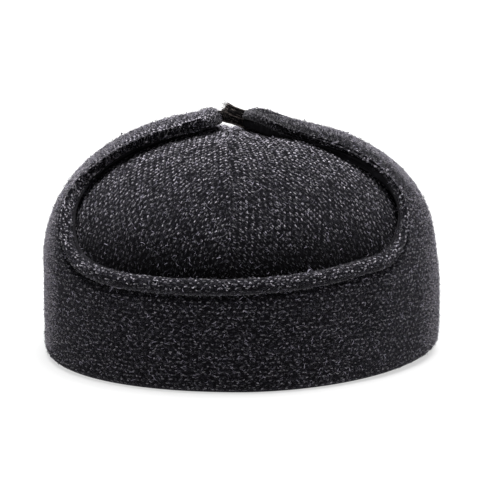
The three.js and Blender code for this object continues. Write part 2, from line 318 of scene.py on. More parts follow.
def drop(p):
    forward = np.maximum(0, p[..., 1]) / cap["frontReach"]
    above = np.maximum(0, p[..., 2] - cap["footHeight"])
    q = p.copy()
    q[..., 2] -= above * cap["frontDrop"] * forward ** 3
    return q


# Points moved out from the dome's centre onto a layer
def onto(p, form):
    x, y, z = p[..., 0], p[..., 1], p[..., 2]
    norm = np.maximum(planNorm(x, y, form), 1e-9)
    low = z < cap["shoulder"]
    kLow = (1 - cap["taper"] / cap["halfWidth"] * (1 - z / cap["shoulder"])) / norm
    up = np.maximum(0, (z - cap["shoulder"]) / (form[3] - cap["shoulder"]))
    kHigh = (norm ** cap["domePower"] + up ** cap["domePower"]) ** (-1 / cap["domePower"])
    k = np.where(low, kLow, kHigh)
    zHigh = cap["shoulder"] + (z - cap["shoulder"]) * k
    return np.stack([x * k, y * k, np.where(low, z, zHigh)], -1)


def outlinePoint(bearing, z, form):
    b = np.radians(bearing)
    y = -np.cos(b)
    z = np.broadcast_to(z, np.shape(b))
    raw = np.stack([form[0] * np.sin(b), y * np.where(y < 0, form[1], form[2]), z], -1)
    return onto(raw, form)


# The rim as shares of the cap's sizes: foot bearing, across, along, up
rimTable = {
    "back": (0, 0, -0.98, 0.457),
    "rearLeft": [
        (24, 0.403, -0.9, 0.453), (40, 0.648, -0.739, 0.464), (50, 0.787, -0.569, 0.504),
        (57, 0.805, -0.388, 0.592), (62, 0.753, -0.23, 0.686), (69, 0.606, -0.155, 0.806),
        (76, 0.390, -0.12, 0.921), (83, 0.159, -0.125, 0.964), (89, 0.096, 0, 0.974)],
    "rearRight": [
        (24, 0.382, -0.894, 0.476), (40, 0.614, -0.756, 0.500), (50, 0.765, -0.6, 0.524),
        (57, 0.822, -0.436, 0.617), (62, 0.776, -0.31, 0.732), (69, 0.615, -0.23, 0.84),
        (76, 0.393, -0.19, 0.925), (83, 0.105, -0.15, 0.975), (89, 0.006, 0, 0.982)],
    "front": [
        (95, 0.159, 0.17, 0.97), (102, 0.425, 0.214, 0.918), (109, 0.722, 0.304, 0.771),
        (115, 0.855, 0.429, 0.537), (119, 0.86, 0.518, 0.303), (122, 0.817, 0.571, 0.12)],
}


# A centripetal curve through the points, with equal steps in each stretch
def smoothPath(points, count, speed):
    points = np.asarray(points, float)
    first = 2 * points[0] - points[1]
    last = 2 * points[-1] - points[-2]
    full = np.vstack([first, points, last])
    spread = full[:, speed]
    out = []
    for t in np.linspace(0, len(points) - 1, count):
        i = min(int(t), len(points) - 2)
        w = t - i
        a, b, c, d = full[i:i + 4]
        s = [max(np.sum((spread[i + j + 1] - spread[i + j]) ** 2) ** 0.25, 1e-4) for j in range(3)]
        u = ((b - a) / s[0] - (c - a) / (s[0] + s[1]) + (c - b) / s[1]) * s[1]
        v = ((c - b) / s[1] - (d - b) / (s[1] + s[2]) + (d - c) / s[2]) * s[1]
        out.append(b + u * w + (-3 * b + 3 * c - 2 * u - v) * w ** 2 + (2 * b - 2 * c + u + v) * w ** 3)
    return np.array(out)


def rimStations(count):
    def side(rows, sign):
        return [(sign * f, sign * a * cap["halfWidth"],
                 l * (cap["backReach"] if l < 0 else cap["frontReach"]), u * cap["height"])
                for f, a, l, u in rows + rimTable["front"]]
    f, a, l, u = rimTable["back"]
    rows = (side(rimTable["rearLeft"], -1)[::-1] + [(f, 0, l * cap["backReach"], u * cap["height"])]
            + side(rimTable["rearRight"], 1))
    dense = smoothPath(rows, 1500, [1, 2, 3])
    steps = np.linalg.norm(np.diff(dense[:, 1:], axis=0), axis=1)
    walked = np.concatenate([[0], np.cumsum(steps)])
    even = np.linspace(0, walked[-1], count)
    return np.stack([np.interp(even, walked, dense[:, i]) for i in range(4)], 1)


tips = {"left": 0.096 * cap["halfWidth"], "right": 0.032 * cap["halfWidth"],
        "liftLeft": 1.8, "liftRight": 2.0, "reach": 9.0,
        "sagAt": 34.0, "sagReach": 24.0, "sagDepth": 3.3}


def swell(p):
    def bell(start, reach):
        return np.exp(-((p[..., 0] - start) / reach) ** 2)
    high = np.clip((p[..., 2] - cap["shoulder"]) / (cap["height"] - cap["shoulder"]) / 0.8, 0, 1)
    right = tips["liftRight"] * bell(tips["right"] + tips["reach"] / 2, tips["reach"])
    left = tips["liftLeft"] * bell(-tips["left"] - tips["reach"] / 3, tips["reach"])
    return high * (right + left - tips["sagDepth"] * bell(tips["sagAt"], tips["sagReach"]))


# Points on the flap: share 0 is on the fold's wall and share 1 on the rim
def flapPoint(stations, share, inset):
    share = np.broadcast_to(share, stations.shape[:1])
    inset = np.broadcast_to(np.asarray(inset, float), share.shape)
    form = layer(inset)
    edge = stations[:, 1:]
    centre = np.array([0, 0, cap["shoulder"]])
    start = outlinePoint(stations[:, 0], cap["footHeight"], form)
    p, q = start - centre, edge - centre
    cosine = np.sum(p * q, 1) / np.linalg.norm(p, axis=1) / np.linalg.norm(q, axis=1)
    half = np.arccos(np.clip(cosine, -1, 1)) / 2
    along = 0.5 + np.tan(half * (2 * share - 1)) / np.tan(half) / 2
    raw = start + (edge - start) * along[:, None]
    placed = onto(raw, form)
    lifted = onto(placed, layer(inset - swell(placed)))
    return np.where(placed[:, 2:] < cap["shoulder"], placed, lifted)


def shareBeforeRim(stations, length):
    a, b, c = (flapPoint(stations, s, 0.0) for s in (0.0, 0.5, 1.0))
    whole = np.linalg.norm(b - a, axis=1) + np.linalg.norm(c - b, axis=1)
    return 1 - length / np.maximum(whole, 15)


# How far a value has come from low to high, as a share
def between(value, low, high):
    return np.clip((value - low) / (high - low), 0, 1)


def unit(v):
    return v / np.maximum(np.linalg.norm(v, axis=1), 1e-9)[:, None]


# Points of the frame as seen from the middle of the cap's widest section
def inCap(points):
    return points - np.array([0, cap["middle"], 0])


def newMesh(name, points, faces, materials=()):
    mesh = bpy.data.meshes.new(name)
    mesh.from_pydata(points, [], faces)
    for material in materials:
        mesh.materials.append(material)
    return mesh


def addObject(name, mesh, finish=None):
    made = bpy.data.objects.new(name, mesh)
    scene.collection.objects.link(made)
    if finish:
        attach(made, "root")
    return made


# What each item of a mesh holds under a key, in rows of the given width
def readAll(items, key, width=1, kind=float):
    values = np.empty(len(items) * width, kind)
    items.foreach_get(key, values)
    return values.reshape(-1, width) if width > 1 else values


def markValues(mesh, name, values):
    mark = mesh.attributes.new(name, "FLOAT", "POINT")
    mark.data.foreach_set("value", values.astype(np.float32))


def markPlaces(obj, name, rule):
    markValues(obj.data, name, rule(readAll(obj.data.vertices, "co", 3) * 1000))


# Mesh from closed rings of points in millimetres, with the weave's place at each corner
def gridObject(name, rows, weave, materials, slots=None):
    count, ring = rows.shape[:2]
    points = rows.reshape(-1, 3).copy()
    points[:, 1] += cap["middle"]
    faces = []
    for i in range(count - 1):
        for j in range(ring):
            k = (j + 1) % ring
            faces.append((i * ring + j, (i + 1) * ring + j, (i + 1) * ring + k, i * ring + k))
    faces.append(tuple(range(ring)))
    faces.append(tuple((count - 1) * ring + j for j in reversed(range(ring))))
    mesh = newMesh(name, (points / 1000).tolist(), faces, materials)
    uv = mesh.uv_layers.new(name="weave")
    flat = weave.reshape(-1, 2)[readAll(mesh.loops, "vertex_index", kind=np.int32)]
    uv.data.foreach_set("uv", flat.astype(np.float32).ravel())
    mesh.polygons.foreach_set("material_index", (slots or [0] * ring) * (count - 1) + [0, 0])
    mesh.polygons.foreach_set("use_smooth", [True] * len(mesh.polygons))
    mesh.update()
    made = addObject(name, mesh)
    finishMesh(mesh)
    return made


# Welds doubles and turns every face outwards
def finishMesh(mesh):
    bm = bmesh.new()
    bm.from_mesh(mesh)
    bmesh.ops.remove_doubles(bm, verts=bm.verts, dist=1e-6)
    bmesh.ops.dissolve_degenerate(bm, edges=bm.edges, dist=1e-7)
    bmesh.ops.recalc_face_normals(bm, faces=bm.faces)
    bm.to_mesh(mesh)
    bm.free()


def fieldNoise(points, size, seed):
    return np.array([noise.noise(Vector(p / size) + Vector((seed, seed * 1.7, 0))) for p in points])


# Soft unevenness: points moved in or out from the cap's middle
def soften(rows, waves):
    shape = rows.shape
    flat = rows.reshape(-1, 3)
    centre = np.array([0, 10, 40.0])
    out = flat - centre
    out /= np.linalg.norm(out, axis=1)[:, None] + 1e-9
    total = np.zeros(len(flat))
    for size, depth, seed in waves:
        total += fieldNoise(flat, size, seed) * depth
    return (flat + out * total[:, None]).reshape(shape)


# How the weave is turned on each piece, in degrees
weaveAngle = {"crownLeft": -86, "crownRight": 72, "flaps": 0, "peak": 0}

tweedCrownLeft = tweedMaterial("tweedCrownLeft", weaveAngle["crownLeft"], tweed, 0.86, 1.05)
tweedCrownRight = tweedMaterial("tweedCrownRight", weaveAngle["crownRight"], tweed, 0.82, 1.05)
tweedFlaps = tweedMaterial("tweedFlaps", weaveAngle["flaps"], tweed, 0.8, 0.8, 0.12)
tweedPeak = tweedMaterial("tweedPeak", weaveAngle["peak"], tweed)
blackLining = liningMaterial("blackLining", lining)
blackTape = tapeMaterial("blackTape", tapeCloth)
print("stage: materials made")

# Ear flaps: the doubled tweed with its rolled rim, groove and foot fold
flaps = {
    "stations": 420,
    "wall": 2.8, "proud": 0.9, "crest": -0.5, "rollWidth": 7.2,
    "grooveDepth": 2.3, "grooveWide": 2.1, "grooveRun": 5.0, "curl": 4.0,
    "wallRows": 26,
    # Pairs of how far in and how high: the fold's crown side, its flap side, and the crown's foot on it
    "foldInside": [(2.5, 8.7), (2.5, 5.5), (2.45, 3.4), (1.9, 1.7), (1.1, 0.55), (0.1, 0.0)],
    "footInside": [(0, 5.4), (0.4, 3.9), (1.1, 3.2)],
    "footCrown": [(-1.2, 3.2), (-0.4, 3.7), (0.0, 5.2), (0.0, 8.7)],
    # Pairs of how far below the rim and how far in, where the bead's cloth turns down inside
    "rimInside": [(0.1, 3.3), (0.4, 3.6), (1.0, 3.8), (4.0, 3.85), (7.0, 3.85)],
    "hollow": 1.7, "hollowAt": 66.0, "hollowReach": 15.0,
    "waves": [(38, 1.0, 3.0), (17, 0.35, 9.0), (7, 0.12, 5.0)],
}

crownInset = {"side": 10.0, "back": 11.0, "top": 9.0, "wall": 2.5}


def crownLayer(inset):
    return layer(crownInset["side"] + inset, crownInset["back"] + inset, crownInset["top"] + inset)


# How strongly the rim is rolled, by the bearing of its foot: round the back, less at the front
def rollShare(foot):
    feet = [-100, -90, -80, -70, -58, -50, 44, 52, 90, 100]
    return np.interp(foot, feet, [0.0, 0.15, 0.2, 0.2, 0.6, 1, 1, 0.6, 0.5, 0.0])


# Radii in millimetres by which the weave is laid out, so that its yarns keep their size
weaveReach = {"round": 93.0, "over": 88.0, "crown": 82.0}


# Cloth laid round the back and folded up over each side
def flapWeave(points, wrap=0.0):
    turn = np.arctan2(points[..., 0], -points[..., 1])
    level = np.hypot(points[..., 0], points[..., 1])
    lat = np.arctan2(np.maximum(points[..., 2] - cap["shoulder"], 0), level)
    side = np.sign(turn) * math.pi / 2
    blend = np.clip((np.abs(turn) - 0.3) / 0.8, 0, 1)
    blend = blend * blend * (3 - 2 * blend)
    folded = side + (turn - side) * np.cos(lat)
    u = weaveReach["round"] * (turn * (1 - blend) + folded * blend)
    v = np.minimum(points[..., 2], cap["shoulder"]) + weaveReach["over"] * lat + wrap
    return np.stack([u, v], -1)


# How much thicker the flaps' upper parts lie than the rest: more on the left, less on the right
def plump(stations):
    across, up = stations[:, 1], stations[:, 3]
    left = between(-across, 0, 10) * (1.5 + 0.5 * between(up, 98, 106))
    right = -0.6 * between(across, 22, 34)
    return between(up, 58, 76) * (left + right)


# The cloth's own set: fuller on the right, and lifted a little from the floor at both sides
lean = {"rightFull": 1.6, "fullAt": 24.0, "fullReach": 20.0, "liftLeft": 0.4, "liftRight": 2.3,
        "liftHeight": 26.0, "drawnLeft": 0.45, "drawnRight": 1.2, "drawnAt": 54.0, "drawnReach": 18.0}


def settle(p):
    q = p.copy()
    x, y, z = p[..., 0], p[..., 1], p[..., 2]
    side = between(np.abs(x), 0, cap["halfWidth"]) ** 3 * np.where(y < 60, 1, 0.4)
    full = np.exp(-((z - lean["fullAt"]) / lean["fullReach"]) ** 4)
    drawn = lean["drawnLeft"] * between(-x, 0, cap["halfWidth"]) * between(z, 2, 12)
    narrow = lean["drawnRight"] * side * np.exp(-((z - lean["drawnAt"]) / lean["drawnReach"]) ** 2)
    q[..., 0] += np.where(x > 0, lean["rightFull"] * side * full - narrow, drawn)
    lift = np.where(x > 0, lean["liftRight"], lean["liftLeft"]) * side
    q[..., 2] += lift * np.clip(1 - z / lean["liftHeight"], 0, 1)
    return q


def buildFlaps(f):
    st = rimStations(f["stations"])
    foot = st[:, 0]
    cols, kinds, wraps = [], [], []

    # wrap is how far the cloth has run over the bead, beyond what its place shows
    def add(points, kind, wrap=0.0):
        cols.append(points)
        kinds.append(kind)
        wraps.append(wrap + 0 * foot)

    inside = f["proud"] + f["wall"]
    for inset, z in f["foldInside"]:
        add(outlinePoint(foot, z, crownLayer(inset)), 1)
    for k in np.linspace(0, 1, 4)[1:-1]:
        a = outlinePoint(foot, 0.0, crownLayer(0.1))
        b = outlinePoint(foot, 0.0, layer(f["proud"] + f["curl"]))
        add(a + (b - a) * k, 0)
    for turn in np.radians(np.linspace(0, 90, 9)):
        add(outlinePoint(foot, f["curl"] * (1 - math.cos(turn)),
                         layer(f["proud"] + f["curl"] * (1 - math.sin(turn)))), 0)
    add(outlinePoint(foot, 6.5, layer(f["proud"])), 0)
    body = shareBeforeRim(st, f["rollWidth"] + f["grooveRun"] + 0.4)
    for k in np.linspace(0, 1, f["wallRows"]):
        add(drop(flapPoint(st, k * body, f["proud"])), 0)
    # A groove, then a round bead that turns in at the rim
    rolled = rollShare(foot)
    more = plump(st)
    groove = f["proud"] + f["grooveDepth"] * rolled
    crest = f["proud"] - (f["proud"] - f["crest"]) * rolled
    for d in np.linspace(f["grooveRun"], 0, 11):
        inset = f["proud"] + (groove - f["proud"]) * math.exp(-(d / f["grooveWide"]) ** 2)
        add(drop(flapPoint(st, shareBeforeRim(st, f["rollWidth"] + d), inset)), 0)
    for turn in np.linspace(0, math.pi, 21)[1:]:
        d = f["rollWidth"] / 2 * (1 + math.cos(turn))
        low = groove if turn < math.pi / 2 else f["proud"] + f["grooveDepth"] + more
        deep = (low - crest) * (1 - math.sin(turn))
        add(drop(flapPoint(st, shareBeforeRim(st, d), crest + deep)), 0,
            groove - crest + (deep if turn > math.pi / 2 else -deep))
    outer = len(cols)
    for d, inset in f["rimInside"]:
        add(drop(flapPoint(st, shareBeforeRim(st, d), inset + more)), 0, groove - crest + 3.4 + d)
    for k in np.linspace(1, 0, 10):
        add(drop(flapPoint(st, k * body, inside + more * k)), 1)
    for inset, z in f["footInside"]:
        add(outlinePoint(foot, z, layer(inside + inset)), 1)
    for inset, z in f["footCrown"]:
        add(outlinePoint(foot, z, crownLayer(inset)), 1)
    rows = np.stack(cols, 1)
    soft = soften(rows, f["waves"])
    # The unevenness fades out at the sole, so that it stays flat
    keep = between(rows[..., 2:], 2, 16)
    rows = settle(rows * (1 - keep) + soft * keep)
    # The outer cloth sinks a little on the right shoulder, and not at the rim
    hollow = f["hollow"] * np.exp(-((rows[..., 0] - f["hollowAt"]) / f["hollowReach"]) ** 2)
    hollow *= between(rows[..., 2], 72, 88)
    number = np.arange(rows.shape[1])
    rows[..., 2] -= hollow * np.where(number < outer, between(outer - number, 0, 16), 0)
    weave = flapWeave(rows, np.stack(wraps, 1))
    return gridObject("earFlaps", rows, weave, [tweedFlaps, blackLining], kinds)


earFlaps = buildFlaps(flaps)
print("stage: ear flaps", len(earFlaps.data.polygons))


# Black lining on the flaps' inner side
liningLayer = {"face": 4.0, "thick": 2.5, "short": 1.0, "rows": 22, "stations": 380,
               "bunches": [(7, 11, 2.4), (-13, 10, -0.2)],  # at each tip: where, how wide, how thick
               "waves": [(38, 1.0, 3.0), (17, 0.35, 9.0)]}


def buildLining(s):
    st = rimStations(s["stations"])
    end = shareBeforeRim(st, s["short"])
    more = plump(st)
    cols = []
    for k in np.linspace(0, 1, s["rows"]):
        cols.append(drop(flapPoint(st, k * end, s["face"] + more * k)))
    # Thicker at the two tips, where the lining is bunched
    across = st[:, 1]
    bunch = sum(thick * np.exp(-((across - place) / reach) ** 2) for place, reach, thick in s["bunches"])
    bunch = between(st[:, 3], 95, 105) * bunch
    thin = between(st[:, 3], 55, 75) * np.where(across > 0, 1.5, 0.1) * between(np.abs(across), 16, 30)
    puff = s["thick"] + bunch - thin - np.maximum(more, 0) * 0.75
    for turn in np.radians(np.linspace(20, 160, 6)):
        depth = s["face"] + more + puff / 2 - puff / 2 * math.cos(turn)
        past = shareBeforeRim(st, s["short"] - 0.9 * math.sin(turn))
        cols.append(drop(flapPoint(st, past, depth)))
    for k in np.linspace(1, 0, s["rows"]):
        depth = s["face"] + s["thick"] + (puff + more - s["thick"]) * k ** 6
        cols.append(drop(flapPoint(st, k * end, depth)))
    rows = settle(soften(np.stack(cols, 1), s["waves"]))
    return gridObject("flapLiningCloth", rows, flapWeave(rows), [blackLining])


flapLiningCloth = buildLining(liningLayer)
print("stage: lining")


# Crown: two panels that meet in a sunk seam
crown = {
    "columns": 170, "levels": 96, "skirt": 14,
    "seamAt": -5.0, "seamReach": 45.0, "seamDepth": 1.3, "seamWide": 2.6,
    # Gaps from the rim in millimetres at which the painted shade on the crown is full and at which it ends
    "valley": (9.0, 28.0),
    "fullLeft": 0.3, "fullRight": 1.6, "fullTop": 0.2,  # how far it swells under the flaps' upper parts
    "waves": [(46, 1.3, 21.0), (20, 0.5, 7.0), (8, 0.14, 2.0)],
}


# Cloth laid flat over the middle of each panel
def crownWeave(points, sign):
    middle = np.array([sign * 0.55, -0.45, 0.70])
    middle /= np.linalg.norm(middle)
    across = np.cross([0, 0, 1.0], middle)
    across /= np.linalg.norm(across)
    r = points - np.array([0, 5, 38.0])
    r /= np.linalg.norm(r, axis=-1)[..., None] + 1e-9
    theta = np.arccos(np.clip(r @ middle, -1, 1))
    a, b = r @ across, r @ np.cross(middle, across)
    length = np.sqrt(a * a + b * b) + 1e-9
    reach = weaveReach["crown"]
    return np.stack([reach * theta * a / length, reach * theta * b / length], -1)


# The nearest point of a line to each place: how far off it is, and its number
def nearest(line, points):
    pick = np.array([np.argmin(np.sum((line - p) ** 2, 1)) for p in points])
    return np.linalg.norm(points - line[pick], axis=1), pick


# Painted shade on the crown near the flaps' rim: 1 in the valley behind it, 0 in the open
def valleyShadeAt(points):
    rim = rimStations(200)[:, 1:]
    gap, pick = nearest(rim, inCap(points))
    near = 1 - between(gap, *crown["valley"])
    # Light reaches in under the flaps' upper edges
    near *= 1 - 0.85 * between(rim[pick, 2], 58, 78)
    near *= 1 - 0.3 * between(-points[:, 0], 35, 55)
    return near * near * (3 - 2 * near)


# The rolled bead along the rim, where flecks are painted lighter: partly the tight cloth's larger flecks,
# partly a painted highlight
def beadAt(points):
    wide = flaps["rollWidth"]
    rim = rimStations(500)
    gap = nearest(flapPoint(rim, shareBeforeRim(rim, wide * 0.28), 0.0), inCap(points))[0]
    return between(wide * 0.45 - gap, 0, 1.6)


# The right flap's tip seen from behind, darkened with painted shade; its floats are kept brighter than the
# cloth
def tipShadeZone(points):
    x, z = points[:, 0], points[:, 2]
    behind = between(inCap(points)[:, 1], 20, 10)
    return between(-x, -38, -20) * between(x, 0, 2) * between(z, 92, 100) * behind


# Shades on the flaps: how deep each is, and where each measure of a place turns it from none to full
shades = {
    "rimInside": (0.9, {"depth": (2.4, 3.2), "gap": (1.2, 2.7), "near": (-8, -6.5), "right": (0, 1),
                        "up": (57, 65), "rear": (0, 1)}),
    "grooveRight": (0.92, {"near": (-17.5, -11), "gap": (3.4, 4.8), "across": (5, 14), "up": (68, 84),
                           "rear": (0, 1)}),
    "underTip": (0.97, {"across": (0, 1.5), "back": (-34, -24), "below": (-115.8, -114.6), "near": (-9, -7),
                        "up": (92, 98), "rear": (0, 1)}),
    "grooveFoot": (0.68, {"gap": (4.4, 5.6), "near": (-9.5, -8), "down": (-68, -54), "rear": (0, 1)}),
    "shoulder": (0.85, {"across": (56, 68), "near": (-3.8, -2.2), "down": (-88, -78)}),
    "tipLeft": (0.4, {"across": (-20, -13), "back": (0, 3), "up": (104, 110)}),
}


def flapShade(points, tipShade=0.9):
    spots = inCap(points)
    rim = rimStations(400)
    gap, pick = nearest(rim[:, 1:], spots)
    centre = np.array([0, 0, cap["shoulder"]])
    surface = onto(spots, layer(0.0))
    depth = np.linalg.norm(surface - centre, axis=1) - np.linalg.norm(spots - centre, axis=1)
    x, z = points[:, 0], points[:, 2]
    measures = {"depth": depth, "gap": gap, "near": -gap, "across": x, "back": -x, "up": z, "down": -z,
                "below": -0.42 * x - z, "right": x > 0, "rear": rim[pick, 2] < 6}
    found = [tipShade * tipShadeZone(points)]
    for deep, places in shades.values():
        shade = deep
        for key, (low, high) in places.items():
            shade = shade * between(1.0 * measures[key], low, high)
        found.append(shade)
    return np.max(found, axis=0)


# The rim, seen from behind under the flaps' upper edges, facing away from the lamp: its floats are painted
# brighter there as painted light
def rimLightAt(points):
    gap = nearest(rimStations(400)[:, 1:], inCap(points))[0]
    x = points[:, 0]
    side = np.where(x > 0, 0.5 * between(x, 18, 28), between(-x, 14, 22))
    return between(np.where(x > 0, 4.2, 7.6) - gap, 0, 1.6) * between(points[:, 2], 62, 76) * side


def crownPanel(name, sign, material, c):
    # Columns lie close together beside the seam
    t = np.linspace(0, 1, c["columns"])
    bearing = 180 * (t - np.sin(2 * math.pi * t) / (2 * math.pi) * 0.86)
    edge = np.where(bearing > 122.5, 1.2, cap["footHeight"])

    def place(points, inset):
        x = np.abs(points[:, 0])
        sunk = c["seamDepth"] * np.exp(-(x / c["seamWide"]) ** 2) if inset == 0 else 0 * x
        points = points + np.array([1, 0, 0]) * (c["seamAt"] * np.exp(-(x / c["seamReach"]) ** 2))[:, None]
        full = np.where(points[:, 0] < 0, c["fullLeft"], c["fullRight"])
        full = full * between(points[:, 2], 50, 72) * between(x, 14, 28)
        full = np.maximum(full, c["fullTop"] * between(points[:, 2], 90, 100))
        return drop(onto(points, crownLayer(inset + sunk - full)))

    def shell(inset, levels, skirt, kind):
        form = crownLayer(inset)
        out = []
        for k in np.linspace(0, 1, skirt, endpoint=False):
            z = edge + (cap["shoulder"] - edge) * k
            out.append(place(outlinePoint(sign * bearing, z, form), inset))
        shoulder = outlinePoint(sign * bearing, cap["shoulder"], form)
        for turn in np.radians(np.linspace(0, 90, levels)):
            raw = shoulder * max(math.cos(turn), 1e-6)
            raw[:, 2] = cap["shoulder"] + (form[3] - cap["shoulder"]) * math.sin(turn)
            out.append(place(onto(raw, form), inset))
        return out, [kind] * len(out)

    outer, outerKinds = shell(0, c["levels"], c["skirt"], 0)
    inner, innerKinds = shell(crownInset["wall"], c["levels"] // 3, c["skirt"] // 2, 1)
    rows = soften(np.stack(outer + inner[::-1], 1), c["waves"])
    rows[..., 2] = np.maximum(rows[..., 2], 0.8)
    return gridObject(name, rows, crownWeave(rows, sign), [material, blackLining],
                      outerKinds[:-1] + [1] + innerKinds)


crownLeft = crownPanel("crownLeft", -1, tweedCrownLeft, crown)
crownRight = crownPanel("crownRight", 1, tweedCrownRight, crown)
# The crown panels carry the painted shade behind the flaps' rim
for panel in (crownLeft, crownRight):
    markPlaces(panel, "valley", valleyShadeAt)
print("stage: crown")


# Peak: a stiff crescent covered in tweed, hidden at the front
peak = {"reach": 44.0, "corner": 5.0, "thick": 4.4, "span": 54.0, "rise": 17.0, "cornerRise": 9.2,
        "fall": 8.5, "gap": 0.5, "steps": 90, "rows": 22}


def buildPeak(p):
    turn = np.linspace(-p["span"], p["span"], p["steps"])
    share = np.cos(np.radians(turn / p["span"] * 90))
    reach = p["corner"] + (p["reach"] - p["corner"]) * np.maximum(share, 0) ** 0.6
    rise = p["cornerRise"] + (p["rise"] - p["cornerRise"]) * share
    start = outlinePoint(180 - turn, rise, crownLayer(-p["gap"]))
    forward = unit(start * np.array([0.7, 1, 0]))
    half = p["thick"] / 2
    cols, up = [], []

    def add(out, lift, place):
        fall = p["fall"] * share * out ** 1.3
        q = start + forward * (reach * out)[:, None]
        q[:, 2] = rise - half - fall + lift
        cols.append(q)
        up.append(place + 0 * turn)

    def stitched(out, lift):
        # Two rows of stitching press the cloth in beside the lip
        d = (1 - out) * p["reach"]
        return lift * (1 - 0.16 * np.exp(-((d - 4) / 0.8) ** 2) - 0.16 * np.exp(-((d - 10) / 0.8) ** 2))

    line = np.concatenate([np.linspace(0, 0.7, 10), np.linspace(0.74, 0.965, 14)])
    for out in line:
        add(out, stitched(out, half), out * p["reach"])
    for a in np.radians(np.linspace(75, -75, 9)):
        add(0.965 + 0.035 * math.cos(a), half * math.sin(a), p["reach"] + half * (1.57 - a))
    for out in line[::-1]:
        add(out, -stitched(out, half), 2 * p["reach"] + 8 - out * p["reach"])
    rows = np.stack(cols, 1)
    weave = np.stack([start[:, :1] + 0 * rows[..., 0], np.stack(up, 1)], -1)
    return gridObject("peakCloth", rows, weave, [tweedPeak])


peakCloth = buildPeak(peak)
print("stage: peak")


# Tie: flat black tape; its knot is drawn in between the tips and its short end is frayed
tie = {
    "thick": 1.3,
    # Rows of x, y, z, the way the width runs, and the width
    "strap": [(-13, 1.4, 113.2, 0, 0.35, 1, 4.4), (-9.2, 0.4, 113.4, 0.02, 0.2, 1, 5.2),
              (-6.0, -0.6, 112.7, 0.2, 0, 1, 5.4), (-3.0, -0.8, 112.0, 0.32, 0, 1, 5.3),
              (0.4, -0.2, 110.6, 0.36, 0.1, 1, 5.0), (4.6, 1.6, 108.8, 0.36, 0.3, 1, 5.0)],
    "end": [(6.5, 1.4, 112.4, 0.3, 0.2, 1, 4.4), (3.0, -0.4, 113.6, 0.36, 0.05, 1, 4.6),
            (-0.3, -1.8, 114.8, 0.4, 0, 1, 4.6), (-4.2, -2.3, 116.3, 0.38, 0.1, 1, 4.8),
            (-7.4, -2.0, 117.9, 0.3, 0.2, 1, 5.2)],
    "wrapAt": (-7.0, -0.4, 114.2), "wrapReach": (0.8, 2.2, 2.6), "wrapWidth": 3.0, "wrapThick": 1.0,
    "threads": 26, "threadLong": (0.6, 2.4), "threadWide": 0.13,
}


# A ribbon along points: each row is x, y, z, the way its width runs, and its width
def ribbon(name, path, thick, material, steps=56):
    rows = smoothPath(path, steps, [0, 1, 2])
    centre = rows[:, :3]
    tangent = unit(np.gradient(centre, axis=0))
    wide = rows[:, 3:6]
    wide = unit(wide - tangent * np.sum(wide * tangent, 1)[:, None])
    normal = np.cross(tangent, wide)
    width = rows[:, 6]
    ring, place = [], []
    walked = np.concatenate([[0], np.cumsum(np.linalg.norm(np.diff(centre, axis=0), axis=1))])
    outline = [(a, 1) for a in np.linspace(-0.94, 0.94, 17)] + [(1, 0)]
    outline += [(-a, -1) for a in np.linspace(-0.94, 0.94, 17)] + [(-1, 0)]
    for a, b in outline:
        # Soft creases run along the tape, and its selvedges are thicker
        crease = 0.16 * np.sin(a * 5.0 + walked * 0.5) + 0.1 * np.sin(a * 11 - walked * 0.9)
        depth = thick / 2 * (1 - 0.3 * a * a + (0.25 if abs(a) > 0.85 else 0))
        ring.append(centre + wide * (a * width / 2)[:, None] + normal * (b * depth + crease)[:, None])
        place.append(np.stack([walked, a * width / 2 + (8 if b < 0 else 0)], -1))
    return gridObject(name, np.stack(ring, 1), np.stack(place, 1), [material])


# A strip along a path, with half its width given at each step
def addStrip(verts, faces, path, halves):
    for j, (p, half) in enumerate(zip(path, halves)):
        verts.extend([p - half, p + half])
        if j:
            n = len(verts)
            faces.append((n - 4, n - 3, n - 1, n - 2))


# Loose threads at the cut end of the tape
def frayedThreads(t, material):
    dice = np.random.default_rng(41)
    x, y, z, wx, wy, wz, width = t["end"][-1]
    across = unit(np.array([[wx, wy, wz]]))[0]
    out = unit(np.array([np.array(t["end"][-1][:3]) - np.array(t["end"][-2][:3])]))[0]
    verts, faces = [], []
    for i in range(t["threads"]):
        at = np.array([x, y, z]) + across * dice.uniform(-0.5, 0.5) * width + [0, dice.uniform(-0.5, 0.5), 0]
        way = out + across * dice.normal(0.1, 0.5) + np.array([0, dice.normal(0, 0.4), 0])
        sag = np.array([dice.normal(0, 0.5), 0, dice.normal(0, 0.5)])
        long = dice.uniform(*t["threadLong"])
        steps = np.linspace(0, 1, 5)
        path = [at - out * 0.5 + way * long * k + sag * long * k * k * 0.6 for k in steps]
        addStrip(verts, faces, path, [across * t["threadWide"] * (1 - 0.4 * k) for k in steps])
    points = np.array(verts)
    points[:, 1] += cap["middle"]
    mesh = newMesh("tieFray", (points / 1000).tolist(), faces, [material])
    weave = mesh.uv_layers.new(name="weave")
    places = dice.uniform(0, 20, len(mesh.loops) // 4 * 2)
    weave.data.foreach_set("uv", np.repeat(places, 4).astype(np.float32))
    return addObject("tieFray", mesh, "tape")


# The turn of tape round the knot
def wrapPath(t):
    (x, y, z), (drift, deep, tall) = t["wrapAt"], t["wrapReach"]
    path = []
    for k in range(10):
        a = math.radians(-50 + k * 30)
        path.append((x - drift * math.sin(a), y - deep * math.cos(a), z + tall * math.sin(a),
                     1, 0.1, 0.35, t["wrapWidth"]))
    return path


tieEnd = ribbon("tieTapeEnd", tie["end"], tie["thick"], blackTape)
tieStrap = ribbon("tieTapeStrap", tie["strap"], tie["thick"], blackTape)
tieWrap = ribbon("tieKnotWrap", wrapPath(tie), tie["wrapThick"], blackTape)
tieFray = frayedThreads(tie, blackTape)
print("stage: tie")

